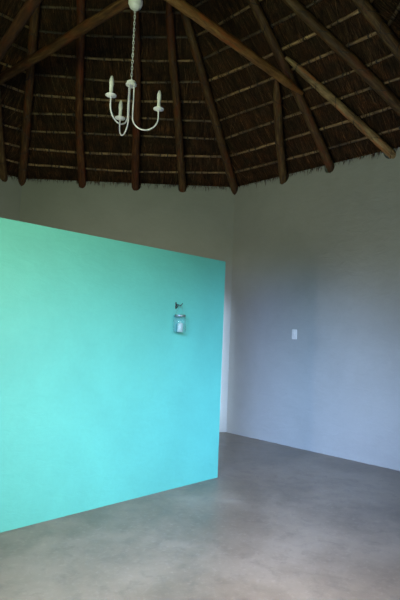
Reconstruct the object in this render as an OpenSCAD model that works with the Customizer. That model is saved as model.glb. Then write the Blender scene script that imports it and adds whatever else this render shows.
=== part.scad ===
// Rondavel hut: an eight-sided plastered hut under a pole and thatch roof.
// Millimetres, +Z up, origin on the ground in the middle of the hut, the doorway faces -Y.
// A facet is one of the eight sides, numbered from +X round towards +Y.

/* [Walls] */
// Distance from the middle of the room to the inner face of each wall
room_apothem = 3600; // [3000:10:4400]
// Thickness of the plastered walls
wall_t = 230; // [180:5:320]
// Height of the inner wall edge above the floor, under the rafters
wall_h = 3280; // [2900:10:3600]
// Thickness of the floor slab, which stands on the ground
floor_t = 100; // [60:5:200]

/* [Doorway] */
// Width of the hole in the wall
door_hole_w = 1000; // [900:10:1200]
// Height of the hole above the floor
door_hole_h = 2120; // [2000:10:2300]
// Width of the face of the door frame
jamb_w = 60; // [45:1:90]
// Depth of the door frame through the wall
jamb_depth = 120; // [90:5:160]
// How far the door frame stands out of the wall
jamb_proud = 10; // [4:1:20]
// Thickness of the planks of the door
plank_t = 25; // [20:1:35]
// Thickness of the ledges and braces of the door
ledge_t = 22; // [18:1:35]
// Width of one door plank
plank_w = 140; // [100:5:180]
// Height of a door ledge
ledge_w = 130; // [90:5:160]
// Distance of the outer ledges from the ends of the door
ledge_inset = 180; // [120:10:300]
// Distance of the ledges from the edges of the door
ledge_margin = 20; // [5:1:40]
// Width of the foot of a slanting brace
brace_foot = 150; // [100:5:200]
// Length of a hinge strap
strap_l = 320; // [200:10:500]
// Height of a hinge strap
strap_h = 40; // [30:1:60]

/* [Windows] */
// Width of the hole for a window
window_w = 800; // [600:10:1000]
// Height of the hole for a window
window_h = 900; // [600:10:1100]
// Height of the window hole above the floor
window_sill_z = 1000; // [800:10:1200]
// Width of the timber of a window frame
sash_w = 55; // [40:1:80]
// Depth of a window frame
sash_depth = 90; // [60:5:140]
// Width of a glazing bar
bar_w = 28; // [20:1:45]
// Thickness of the window glass
glass_t = 5; // [4:1:8]

/* [Roof] */
// Slope of the thatch in degrees
roof_pitch = 40; // [35:1:46]
// How far the eaves reach past the outer wall face
eaves = 450; // [300:10:600]
// Diameter of a rafter where it crosses the wall
rafter_d = 100; // [80:1:120]
// Diameter of a rafter at its top
rafter_tip_d = 76; // [60:1:80]
// Diameter of the laths that carry the thatch
lath_d = 32; // [25:1:40]
// Distance from lath to lath up the slope
lath_step = 245; // [200:5:300]
// Thickness of the thatch
thatch_t = 200; // [150:5:260]
// Distance from course to course on the outside of the thatch
course_step = 420; // [300:10:600]
// Height of the butt of each course of thatch
course_butt = 22; // [10:1:40]
// Diameter of the king block at the apex
king_d = 260; // [240:5:320]
// Length of the king block
king_h = 260; // [200:5:400]
// Thickness of the ridge cap
cap_t = 60; // [40:5:90]
// How far the ridge cap reaches from the middle
cap_r = 620; // [450:10:800]
// Height of the filling between the rafters on the wall, square to the slope
fill_h = 78; // [50:1:90]

/* [Leaning rafters] */
// Left rafter of a square side: place along the wall, place at its top, distance of its top from the middle
square_left = [690, 190, 1150]; // [-1500:10:2500]
// Rafter near the middle of a square side
square_middle = [-100, -320, 1150]; // [-1500:10:2500]
// Right rafter of a square side
square_right = [-760, -630, 1780]; // [-1500:10:2500]
// Left rafter of a slanting side
slanting_left = [760, 110, 2690]; // [-1500:10:3000]
// Right rafter of a slanting side
slanting_right = [-890, -100, 2570]; // [-1500:10:3000]
// Rafter of a slanting side that starts beside the right corner
slanting_corner = [-1360, -240, 1950]; // [-1500:10:2500]

/* [Tie poles] */
// Diameter of the tie poles
tie_d = 95; // [80:1:110]
// Height of the long tie pole above the floor
tie_z = 3950; // [3700:10:4400]
// Turn of the long tie pole from the line between two opposite sides, in degrees
long_turn = 2.3; // [0:0.05:5]
// Turn of the cross tie pole
cross_turn = 4.45; // [0:0.05:6]

/* [Partition] */
// Length of the headboard partition
partition_l = 2800; // [2200:10:3200]
// Thickness of the partition
partition_t = 150; // [100:5:200]
// Height of the partition above the floor
partition_h = 2000; // [1700:10:2300]
// Distance of its right end from the middle of the room
partition_end = 1960; // [1600:10:2400]
// Distance of its front face behind the middle of the room
partition_y = 80; // [0:10:200]

/* [Fittings] */
// Place of the hanging lamp along its tie pole, from the middle
lamp_y = 120; // [0:10:800]
// Length from the tie pole to the hub of the lamp
lamp_drop = 700; // [500:10:900]
// Height of the hub of the lamp above the candle cups
cup_drop = 215; // [150:5:300]
// Radius of the circle of lamp candles
lamp_r = 230; // [180:5:320]
// Straight part of a lamp rod between its bend and its cup
rod_rise = 60; // [30:5:120]
// Diameter of the rods of the lamp
lamp_rod_d = 11; // [8:1:16]
// Place of the jar lantern along the partition, from its right end
jar_x = 600; // [300:10:1200]
// Height of the hook of the jar lantern above the floor
jar_hook_z = 1540; // [1300:10:1700]
// Diameter of the jar
jar_d = 105; // [80:1:130]
// Height of the jar
jar_h = 135; // [100:1:170]
// Place of the switch plate along its wall, from the middle
switch_y = 420; // [200:10:700]
// Height of the switch plate above the floor
switch_z = 1350; // [1100:10:1500]

/* [Hidden] */
$fn = 48;

sides = 8;
turn = 360 / sides;
half = turn / 2;
// Clearance between pieces that seat on each other
seat = 0.3;
far = 12000;
outer_apothem = room_apothem + wall_t;
eave_apothem = outer_apothem + eaves;
wall_top = floor_t + wall_h;
hip_pitch = atan(tan(roof_pitch) * cos(half));
// Clearance on each side of a mitred corner
mitre = seat / 2;
// Distances of the roof layers above the sloping wall top, square to the slope
lath_at = rafter_d + seat;
thatch_at = lath_at + lath_d + seat;
thatch_top = thatch_at + thatch_t;
// A hip rafter touches both roof slopes and the corner of the wall top
hip_share = cos(hip_pitch) / cos(roof_pitch);
hip_d = 2 * (rafter_d * hip_share / (1 + hip_share) - seat / 2);
// Height of the plane under the laths at a distance r from the middle
function under_laths(r) = wall_top + (room_apothem - r) * tan(roof_pitch) + rafter_d / cos(roof_pitch);
// Radius of a rafter at a distance r from the middle: it just clears the outer edge of the wall top
function rafter_r(r) = (rafter_tip_d + (rafter_d - seat - rafter_tip_d) * r / outer_apothem) / 2;
function hip_r(r) = (rafter_tip_d + (hip_d - rafter_tip_d) * r / outer_apothem) / 2;
function half_side(r) = r * tan(half);

wall_color = [0.47, 0.49, 0.45];
pole_color = [0.42, 0.27, 0.16];
lath_color = [0.58, 0.45, 0.29];
thatch_color = [0.46, 0.38, 0.25];
timber_color = [0.55, 0.38, 0.22];
teal_color = [0.33, 0.76, 0.68];
white_color = [0.88, 0.88, 0.84];
metal_color = [0.16, 0.16, 0.15];

// Turns a child from the +X facet to facet k
module facet(k) {
    rotate([0, 0, k * turn]) children();
}

// Plan outline of one facet between two distances from the middle
module facet_outline(r_in, r_out, gap = mitre) {
    polygon([[r_in, -half_side(r_in) + gap], [r_out, -half_side(r_out) + gap],
        [r_out, half_side(r_out) - gap], [r_in, half_side(r_in) - gap]]);
}

// A layer of the roof slope of the +X facet, between two distances above the wall top
module slope_layer(low, high) {
    translate([room_apothem, 0, wall_top]) rotate([0, roof_pitch, 0])
        translate([-far / 2, -far / 2, low]) cube([far, far, high - low]);
}

// A round pole from one point to another, thinner towards the second
module pole(a, b, ra, rb) {
    run = b - a;
    reach = norm(run);
    translate(a) rotate([0, acos(run[2] / reach), atan2(run[1], run[0])])
        cylinder(h = reach, r1 = ra, r2 = rb);
}

// Floor

module floor_slab() {
    color([0.45, 0.42, 0.37]) rotate([0, 0, half]) linear_extrude(floor_t)
        circle(r = (room_apothem - seat) / cos(half), $fn = sides);
}

// Walls

module wall(k) {
    color(wall_color) facet(k) difference() {
        linear_extrude(wall_top) facet_outline(room_apothem, outer_apothem);
        slope_layer(0, far);
    }
}

module wall_with_window(k) {
    color(wall_color) facet(k) difference() {
        linear_extrude(wall_top) facet_outline(room_apothem, outer_apothem);
        slope_layer(0, far);
        translate([room_apothem - wall_t, -window_w / 2, floor_t + window_sill_z])
            cube([3 * wall_t, window_w, window_h]);
    }
}

// The wall of the doorway, cut down to a band between two distances along it
module door_wall(y_from, y_to, z_from) {
    color(wall_color) facet(6) intersection() {
        difference() {
            linear_extrude(wall_top) facet_outline(room_apothem, outer_apothem);
            slope_layer(0, far);
        }
        translate([0, y_from, z_from]) cube([far, y_to - y_from, far]);
    }
}

module wall_left_of_door() {
    door_wall(-far / 2, -door_hole_w / 2, 0);
}

module wall_right_of_door() {
    door_wall(door_hole_w / 2, far / 2, 0);
}

module wall_over_door() {
    door_wall(-door_hole_w / 2 + mitre, door_hole_w / 2 - mitre, floor_t + door_hole_h);
}

// Roof poles

// A rafter [y, y_top, r_top] leans from y at the outer wall face to y_top at a distance r_top from the middle
straight = [0, 0, 300];
function lean(p) = (p[0] - p[1]) / (outer_apothem - p[2]);
function on_axis(p, r) = [r, p[0] + lean(p) * (r - outer_apothem),
    under_laths(r) - rafter_r(r) / cos(roof_pitch)];
rafter_foot = eave_apothem - rafter_d / 2;

// A rafter of the +X facet, from the eaves up to its top
module rafter(p, grow = 0) {
    pole(on_axis(p, rafter_foot), on_axis(p, p[2]), rafter_r(rafter_foot) + grow, rafter_r(p[2]) + grow);
}

// The pole under the hip between the +X facet and the next one
module hip_rafter(r_top, grow = 0) {
    foot_z = under_laths(rafter_foot) - hip_r(rafter_foot) / cos(roof_pitch);
    top_z = under_laths(r_top) - hip_r(r_top) / cos(roof_pitch);
    pole([rafter_foot, half_side(rafter_foot), foot_z], [r_top, half_side(r_top), top_z],
        hip_r(rafter_foot) + grow, hip_r(r_top) + grow);
}

king_top = under_laths(king_d / 2) - seat;
square_sides = [0 : 2 : sides - 1];
slanting_sides = [1 : 2 : sides - 1];
square_quarters = [square_left, square_right];
slanting_quarters = [slanting_left, slanting_right, slanting_corner];

module king_block() {
    color(pole_color) translate([0, 0, king_top - king_h]) cylinder(h = king_h, d = king_d);
}

module hip_rafters() {
    color(pole_color) for (k = [0 : sides - 1]) facet(k) difference() {
        hip_rafter(king_d / 2 * 0.8);
        translate([0, 0, king_top - 2 * king_h]) cylinder(h = 4 * king_h, d = king_d + 2 * seat);
    }
}

module middle_rafters() {
    color(pole_color) {
        for (k = square_sides) facet(k) rafter(square_middle);
        for (k = slanting_sides) facet(k) rafter(straight);
    }
}

module quarter_rafters() {
    color(pole_color) {
        for (k = square_sides) facet(k) for (p = square_quarters) rafter(p);
        for (k = slanting_sides) facet(k) for (p = slanting_quarters) rafter(p);
    }
}

// Open joint between the filling and a rafter
fill_gap = 3;

// Plastered masonry between the rafters of the +X facet, flush with both faces of the wall
module head_filling(poles) {
    difference() {
        intersection() {
            linear_extrude(far) facet_outline(room_apothem, outer_apothem);
            slope_layer(seat, fill_h);
        }
        for (p = poles) rafter(p, fill_gap);
        hip_rafter(king_d, fill_gap);
        mirror([0, 1, 0]) hip_rafter(king_d, fill_gap);
    }
}

module wall_head_filling() {
    color(wall_color) {
        for (k = square_sides) facet(k) head_filling([square_middle, each square_quarters]);
        for (k = slanting_sides) facet(k) head_filling([straight, each slanting_quarters]);
    }
}

// Tie poles: their frame is turned by one facet, and each lies beside the rafters it is fixed to

tie_r = tie_d / 2;
long_level = floor_t + tie_z;
cross_level = long_level + tie_d + seat;
slant_level = long_level - tie_d - seat;
// Distance from the middle at which a tie pole at height z meets the laths
function tie_reach(z) = room_apothem - (z + tie_r - wall_top - rafter_d / cos(roof_pitch)) / tan(roof_pitch) - 15;
// Distance from the middle at which the axis of a rafter is at height z
axis_fall = on_axis(straight, 0)[2] - on_axis(straight, 1)[2];
function rafter_reach(z) = (on_axis(straight, 0)[2] - z) / axis_fall;
function turned(v, a) = [v[0] * cos(a) - v[1] * sin(a), v[0] * sin(a) + v[1] * cos(a), v[2]];
// Offset from the middle, along axis c, of a tie pole at height z and direction u that passes rafter p
// of facet k on one side (1 or -1)
function beside(p, k, z, u, c, side) = let (r = rafter_reach(z), a = (k - 1) * turn,
    at = turned(on_axis(p, r), a), run = turned(on_axis(p, r - 1) - on_axis(p, r), a), n = cross(u, run),
    m = n / norm(n) * sign(n[c])) (at - [0, 0, z]) * m / m[c] + side * (rafter_r(r) + tie_r + seat) / m[c];

module tie_pole(middle, u, z) {
    reach = tie_reach(z);
    pole(middle - reach * u, middle + reach * u, tie_r, tie_r);
}

long_run = [1, tan(long_turn), 0];
long_offset = beside(straight, 1, long_level, long_run, 1, -1);

module tie_pole_long() {
    color([0.55, 0.33, 0.17]) facet(1) tie_pole([0, long_offset, long_level], long_run, long_level);
}

cross_run = [-tan(cross_turn), 1, 0];
cross_offset = beside(slanting_corner, 3, cross_level, cross_run, 0, -1);

module tie_pole_cross() {
    color(pole_color) facet(1) tie_pole([cross_offset, 0, cross_level], cross_run, cross_level);
}

// The slanting tie pole lies beside the right rafters of two opposite slanting sides
slant_foot = on_axis(slanting_right, rafter_reach(slant_level));
slant_run = [-slant_foot[1] / slant_foot[0], 1, 0];
slant_offset = beside(slanting_right, 3, slant_level, slant_run, 0, 1);

module tie_pole_slanting() {
    color([0.33, 0.22, 0.14]) facet(1) tie_pole([slant_offset, 0, slant_level], slant_run, slant_level);
}

// Laths and thatch

lath_level = lath_at + lath_d / 2;
// Distance up and down the slope of a lath whose middle is at a distance r from the middle of the hut
function lath_s(r) = (r - room_apothem - lath_level * sin(roof_pitch)) / cos(roof_pitch);
lath_first = lath_s(eave_apothem - 60);
lath_last = lath_s(king_d / 2 + 90);

module lath_set(first) {
    color(lath_color) for (k = [first : 2 : sides - 1]) facet(k)
        for (s = [lath_first : -lath_step : lath_last]) {
            r = room_apothem + s * cos(roof_pitch) + lath_level * sin(roof_pitch);
            reach = half_side(r - lath_d / 2) - 2;
            translate([room_apothem, 0, wall_top]) rotate([0, roof_pitch, 0])
                translate([s, -reach, lath_level]) rotate([-90, 0, 0])
                    cylinder(h = 2 * reach, d = lath_d, $fn = 24);
        }
}

module laths_square_sides() {
    lath_set(0);
}

module laths_slanting_sides() {
    lath_set(1);
}

// Slope distances of the butts of the courses, from the eaves to the apex
eave_s = (eave_apothem - room_apothem - thatch_top * sin(roof_pitch)) / cos(roof_pitch);
apex_s = -(room_apothem + thatch_top * sin(roof_pitch)) / cos(roof_pitch);
butts = [for (s = eave_s + course_step; s > apex_s - course_step; s = s - course_step) s];

// The thatch seen along the eaves: each course is thickest at its butt and thins up the slope
module thatch_profile() {
    polygon(concat([[butts[0], thatch_at]], [for (s = butts) each [[s, thatch_top - course_butt],
        [s, thatch_top]]], [[apex_s - 2 * course_step, thatch_top - course_butt],
        [apex_s - 2 * course_step, thatch_at]]));
}

module thatch(k) {
    color(thatch_color) facet(k) intersection() {
        linear_extrude(far) facet_outline(2, eave_apothem);
        translate([room_apothem, 0, wall_top]) rotate([0, roof_pitch, 0]) translate([0, far / 2, 0])
            rotate([90, 0, 0]) linear_extrude(far) thatch_profile();
    }
}

// The solid under the top of the thatch, widened by a gap
module thatch_body(gap) {
    intersection_for (k = [0 : sides - 1]) facet(k) slope_layer(-far, thatch_top + gap);
}

cap_low = wall_top + (room_apothem - cap_r) * tan(roof_pitch) + thatch_top / cos(roof_pitch);
cap_peak = wall_top + room_apothem * tan(roof_pitch) + thatch_top / cos(roof_pitch);

module ridge_cap() {
    color([0.62, 0.6, 0.56]) difference() {
        translate([0, 0, cap_low]) cylinder(h = cap_peak - cap_low + cap_t, r1 = cap_r + cap_t, r2 = cap_t);
        thatch_body(seat);
    }
}

// Partition and its lantern

module partition_frame() {
    facet(1) translate([partition_end, partition_y, floor_t]) children();
}

module headboard_partition() {
    color(teal_color) partition_frame() translate([-partition_l, 0, 0])
        cube([partition_l, partition_t, partition_h]);
}

wire_d = 3;
peg_d = 8;
ring_r = 7.5;
jar_axis = jar_d / 2 + 8;
peg_l = jar_axis + 13;
lid_z = jar_hook_z - 95;
lid_h = 16;
ring_z = jar_hook_z + peg_d / 2 + seat - ring_r + wire_d / 2;

module lantern_frame() {
    partition_frame() translate([-jar_x, -seat, 0]) children();
}

module lantern_hook() {
    color(metal_color) lantern_frame() translate([0, 0, jar_hook_z]) {
        translate([-9, -4, -30]) cube([18, 4, 62]);
        translate([0, -2, 0]) rotate([90, 0, 0]) cylinder(h = peg_l - 2, d = peg_d);
        translate([0, -peg_l, -peg_d / 2]) cylinder(h = 20, d = peg_d);
    }
}

module lantern_jar() {
    wall = 3;
    color([0.75, 0.9, 0.88]) lantern_frame() translate([0, -jar_axis, lid_z - seat - jar_h])
        rotate_extrude() difference() {
            union() {
                square([jar_d / 2, jar_h - 22]);
                square([jar_d / 2 - 8, jar_h]);
            }
            translate([-1, 6]) square([jar_d / 2 - 8 - wall + 1, jar_h]);
        }
}

// The lid with its wire and the ring that hangs on the peg
module lantern_lid() {
    color([0.55, 0.57, 0.57]) lantern_frame() translate([0, -jar_axis, 0]) {
        translate([0, 0, lid_z]) cylinder(h = lid_h, d = jar_d - 12);
        for (side = [-1, 1]) pole([side * (jar_d / 2 - 14), 0, lid_z + lid_h - 2],
            [side * (ring_r - 0.2), 0, ring_z], wire_d / 2, wire_d / 2);
        translate([0, 0, ring_z]) rotate([90, 0, 0]) rotate_extrude() translate([ring_r, 0])
            circle(d = wire_d, $fn = 16);
    }
}

// Switch plate on the wall to the right

module switch_plate() {
    color(white_color) facet(1) translate([room_apothem - seat, switch_y, floor_t + switch_z]) {
        translate([-9, -36, -60]) cube([9, 72, 120]);
        translate([-13, -9, -16]) cube([5, 18, 32]);
    }
}

// Door

leaf_gap = 5 + 2 * seat;
frame_face = outer_apothem + jamb_proud;
clear_w = door_hole_w - 2 * jamb_w;
leaf_h = door_hole_h - jamb_w - 20;
leaf_planks = round(clear_w / plank_w);
leaf_w = leaf_planks * plank_w;
leaf_edge = clear_w / 2 + 22;
leaf_z = floor_t + 12;

module door_frame() {
    color(timber_color) facet(6) translate([frame_face - jamb_depth, 0, floor_t]) {
        for (s = [-1, 1]) translate([0, s * (door_hole_w / 2 - seat - jamb_w / 2) - jamb_w / 2, 0])
            cube([jamb_depth, jamb_w, door_hole_h - seat]);
        translate([0, -clear_w / 2, door_hole_h - seat - jamb_w]) cube([jamb_depth, clear_w, jamb_w]);
        translate([0, -clear_w / 2, 0]) cube([jamb_depth, clear_w, 18]);
    }
}

// The door stands open, folded back against the wall
module door_frame_space() {
    facet(6) translate([frame_face + leaf_gap, -leaf_edge - leaf_w, leaf_z]) children();
}

ledge_heights = [ledge_inset, leaf_h / 2, leaf_h - ledge_inset];

module door_leaf() {
    color(timber_color) door_frame_space() {
        for (i = [0 : leaf_planks - 1]) translate([0, i * plank_w, 0]) plank();
        for (z = ledge_heights) translate([plank_t - 1, ledge_margin, z - ledge_w / 2])
            cube([ledge_t + 1, leaf_w - 2 * ledge_margin, ledge_w]);
        for (i = [0, 1]) brace(ledge_heights[i], ledge_heights[i + 1]);
    }
}

// A plank with chamfered edges
module plank() {
    linear_extrude(leaf_h) polygon([[0, 0], [plank_t - 5, 0], [plank_t, 5], [plank_t, plank_w - 5],
        [plank_t - 5, plank_w], [0, plank_w]]);
}

brace_margin = 2 * ledge_margin;

// A slanting brace between two ledges
module brace(z_low, z_high) {
    low = z_low + ledge_w / 2;
    high = z_high - ledge_w / 2;
    translate([plank_t - 1, 0, 0]) rotate([90, 0, 90]) linear_extrude(ledge_t + 1)
        polygon([[leaf_w - brace_margin, low - 1], [leaf_w - brace_margin - brace_foot, low - 1],
            [brace_margin, high + 1], [brace_margin + brace_foot, high + 1]]);
}

module door_hinges() {
    barrel = 15;
    strap_t = leaf_gap - 2 * seat;
    color(metal_color) facet(6) for (z = ledge_heights)
        translate([frame_face + seat, -leaf_edge, leaf_z + z]) {
            translate([0, -strap_l, -strap_h / 2]) cube([strap_t, strap_l + 5, strap_h]);
            translate([barrel / 2, barrel / 2 + seat, -35]) cylinder(h = 70, d = barrel);
        }
}

// Windows in the two walls beside the doorway

window_sides = [5, 7];
frame_r = room_apothem + wall_t / 2 - sash_depth / 2;

module window_space() {
    for (k = window_sides) facet(k) translate([frame_r, 0, floor_t + window_sill_z]) children();
}

module window_frames() {
    inner_w = window_w - 2 * seat - 2 * sash_w;
    inner_h = window_h - 2 * seat - 2 * sash_w;
    color(timber_color) window_space() difference() {
        translate([0, -window_w / 2 + seat, seat]) cube([sash_depth, window_w - 2 * seat, window_h - 2 * seat]);
        for (y = [-inner_w / 2, bar_w / 2]) for (z = [0, 1])
            translate([-1, y, seat + sash_w + z * (inner_h / 2 + bar_w / 2)])
                cube([sash_depth + 2, inner_w / 2 - bar_w / 2, inner_h / 2 - bar_w / 2]);
        translate([sash_depth / 2 - glass_t / 2 - seat, -inner_w / 2 - 8, seat + sash_w - 8])
            cube([glass_t + 2 * seat, inner_w + 16, inner_h + 16]);
    }
}

module window_glass() {
    inner_w = window_w - 2 * seat - 2 * sash_w;
    inner_h = window_h - 2 * seat - 2 * sash_w;
    color([0.7, 0.85, 0.88, 0.5]) window_space()
        translate([sash_depth / 2 - glass_t / 2, -inner_w / 2 - 8 + seat, seat + sash_w - 8 + seat])
            cube([glass_t, inner_w + 16 - 2 * seat, inner_h + 16 - 2 * seat]);
}

module window_sills() {
    sill_reach = wall_t / 2 - sash_depth / 2 + 45;
    color(white_color) window_space() translate([sash_depth + seat, 0, seat]) rotate([90, 0, 0])
        translate([0, 0, -window_w / 2 + seat]) linear_extrude(window_w - 2 * seat)
            polygon([[0, 0], [sill_reach, 0], [sill_reach, 22], [0, 40]]);
}

// Hanging lamp with three candles

lamp_top = cross_level - tie_r - seat;
hub_z = lamp_top - lamp_drop;
rod_ring = 24;
bend_r = (lamp_r - rod_ring) / 2;
cup_z = hub_z - cup_drop;

module lamp_space() {
    facet(1) translate([cross_offset, 0, 0] + lamp_y * cross_run) rotate([0, 0, -turn]) children();
}

rose_h = 74;
hub_top = hub_z + 16;
wire = 4.6;
link_r = 6;
// Middle of the staple under the rose and of the staple on the hub
staple_top = lamp_top - rose_h - 8;
staple_bottom = hub_top + 8;
links = round((staple_top - staple_bottom) / 27) - 1;
link_pitch = (staple_top - staple_bottom) / (links + 1);
flank = link_pitch - 2 * link_r + wire + seat;

// A link of round wire with straight flanks, upright in the XZ plane
module link() {
    for (s = [-1, 1]) translate([s * link_r, 0, -flank / 2]) cylinder(h = flank, d = wire, $fn = 16);
    for (m = [0, 1]) mirror([0, 0, m]) translate([0, 0, flank / 2]) rotate([90, 0, 0])
        rotate_extrude(angle = 180) translate([link_r, 0]) circle(d = wire, $fn = 16);
}

module lamp_rose() {
    color(white_color) lamp_space() {
        translate([0, 0, lamp_top]) mirror([0, 0, 1]) rotate_extrude()
            polygon([[0, 0], [58, 0], [58, 22], [46, 52], [24, 70], [0, rose_h]]);
        translate([0, 0, staple_top]) link();
    }
}

module lamp_chain() {
    color(white_color) lamp_space() for (i = [1 : links])
        translate([0, 0, staple_top - i * link_pitch]) rotate([0, 0, (i % 2) * 90]) link();
}

// One rod: down from the hub, round a half circle and up to its cup
module lamp_rod() {
    rod_low = cup_z - rod_rise;
    translate([rod_ring, 0, rod_low]) cylinder(h = hub_z - 4 - rod_low, d = lamp_rod_d, $fn = 24);
    translate([rod_ring + bend_r, 0, rod_low]) rotate([-90, 0, 0]) rotate_extrude(angle = 180)
        translate([bend_r, 0]) circle(d = lamp_rod_d, $fn = 24);
    translate([lamp_r, 0, rod_low]) cylinder(h = cup_z + 2 - rod_low, d = lamp_rod_d, $fn = 24);
}

module lamp_arms() {
    color(white_color) lamp_space() {
        translate([0, 0, hub_z - 22]) rotate_extrude()
            polygon([[0, 0], [32, 0], [44, 12], [44, 18], [36, 24], [36, 38], [0, 38]]);
        translate([0, 0, staple_bottom]) rotate([0, 0, (links + 1) % 2 * 90]) link();
        for (a = [0, 120, 240]) rotate([0, 0, a]) {
            lamp_rod();
            translate([lamp_r, 0, cup_z]) rotate_extrude()
                polygon([[0, 0], [18, 0], [42, 12], [42, 17], [20, 12], [0, 12]]);
        }
    }
}

module lamp_candles() {
    color([0.93, 0.92, 0.86]) lamp_space() for (a = [0, 120, 240]) rotate([0, 0, a])
        translate([lamp_r, 0, cup_z + 12 + seat]) rotate_extrude()
            polygon([[0, 0], [14, 0], [14, 72], [18, 92], [17, 120], [9, 150], [0, 160]]);
}

floor_slab();
wall(0);  // wall_right
wall(1);  // wall_back_right
wall(2);  // wall_back
wall(3);  // wall_back_left
wall(4);  // wall_left
wall_with_window(5);  // wall_front_left
wall_with_window(7);  // wall_front_right
wall_left_of_door();
wall_right_of_door();
wall_over_door();
wall_head_filling();
headboard_partition();
hip_rafters();
middle_rafters();
quarter_rafters();
king_block();
tie_pole_long();
tie_pole_cross();
tie_pole_slanting();
laths_square_sides();
laths_slanting_sides();
thatch(0);  // thatch_right
thatch(1);  // thatch_back_right
thatch(2);  // thatch_back
thatch(3);  // thatch_back_left
thatch(4);  // thatch_left
thatch(5);  // thatch_front_left
thatch(6);  // thatch_front
thatch(7);  // thatch_front_right
ridge_cap();
door_frame();
door_leaf();
door_hinges();
window_frames();
window_glass();
window_sills();
lamp_rose();
lamp_chain();
lamp_arms();
lamp_candles();
lantern_hook();
lantern_jar();
lantern_lid();
switch_plate();
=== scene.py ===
"""Looks of the rondavel hut: poles, laths, thatch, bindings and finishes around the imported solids.

Metres, +Z up, origin on the ground in the middle of the hut, the doorway faces -Y.
A facet is one of the eight sides, numbered from +X round towards +Y.
"""
import math

import bpy
import numpy as np
from mathutils import Matrix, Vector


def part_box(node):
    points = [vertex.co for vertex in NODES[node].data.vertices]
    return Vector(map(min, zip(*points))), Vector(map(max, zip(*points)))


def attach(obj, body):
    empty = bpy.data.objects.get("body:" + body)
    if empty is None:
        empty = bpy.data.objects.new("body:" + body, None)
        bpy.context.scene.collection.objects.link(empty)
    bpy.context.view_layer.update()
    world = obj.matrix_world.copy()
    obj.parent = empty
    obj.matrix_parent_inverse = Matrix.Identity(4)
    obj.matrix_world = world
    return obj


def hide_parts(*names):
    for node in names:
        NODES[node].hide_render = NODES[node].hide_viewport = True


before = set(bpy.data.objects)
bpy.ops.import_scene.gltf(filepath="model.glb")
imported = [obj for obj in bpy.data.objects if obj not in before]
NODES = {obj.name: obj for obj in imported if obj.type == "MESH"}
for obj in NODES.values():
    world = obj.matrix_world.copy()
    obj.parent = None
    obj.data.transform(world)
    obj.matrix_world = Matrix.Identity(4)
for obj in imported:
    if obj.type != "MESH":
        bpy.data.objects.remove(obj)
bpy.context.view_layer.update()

# The roof, as part.scad makes it
SIDES = 8
TURN = 2 * math.pi / SIDES
PITCH = math.radians(40)
ROOM_APOTHEM = 3.6
EAVE_APOTHEM = 4.28
WALL_TOP = 3.38
FILL_H = 0.078
WALL_HEAD = WALL_TOP + FILL_H / math.cos(PITCH)
RAFTER_TOP = 0.1003
LATH_D = 0.032
LATH_STEP = 0.245
LATH_LEVEL = RAFTER_TOP + LATH_D / 2
THATCH_LOW = RAFTER_TOP + LATH_D + 0.0003
THATCH_T = 0.2
THATCH_HIGH = THATCH_LOW + THATCH_T
COURSE = 0.42
BUTT = 0.022
UP = np.array([0.0, 0.0, 1.0])


# ---------------------------------------------------------------- geometry

def unit(v):
    return v / np.linalg.norm(v)


def unit_rows(v):
    return v / np.linalg.norm(v, axis=1)[:, None]


def turns(n):
    """n angles that go once round."""
    return np.linspace(0, 2 * math.pi, n, endpoint=False)


def next_round(n):
    """The places 0 to n - 1 of a closed ring, and the place after each."""
    a = np.arange(n)
    return a, (a + 1) % n


def facet_turn(k):
    """Rotation that takes the +X facet to facet k."""
    c, s = math.cos(k * TURN), math.sin(k * TURN)
    return np.array([[c, -s, 0], [s, c, 0], [0, 0, 1.0]])


def slope_normal(k):
    return facet_turn(k) @ np.array([math.sin(PITCH), 0, math.cos(PITCH)])


def slope_to_world(k, s, y, n):
    """Points of the roof slope of facet k: s down the slope, y along the eaves, n out of it."""
    s, y, n = np.broadcast_arrays(s, y, n)
    x = ROOM_APOTHEM + s * math.cos(PITCH) + n * math.sin(PITCH)
    z = WALL_TOP - s * math.sin(PITCH) + n * math.cos(PITCH)
    return np.stack([x, y, z], -1) @ facet_turn(k).T


def half_side(r):
    return r * math.tan(TURN / 2)


def apothem_at(s, n):
    return ROOM_APOTHEM + s * math.cos(PITCH) + n * math.sin(PITCH)


def slope_at(r, n):
    """How far down the slope a point at height n above it and at a distance r from the middle lies."""
    return (r - ROOM_APOTHEM - n * math.sin(PITCH)) / math.cos(PITCH)


def add_object(name, data):
    obj = bpy.data.objects.new(name, data)
    bpy.context.scene.collection.objects.link(obj)
    return obj


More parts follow.
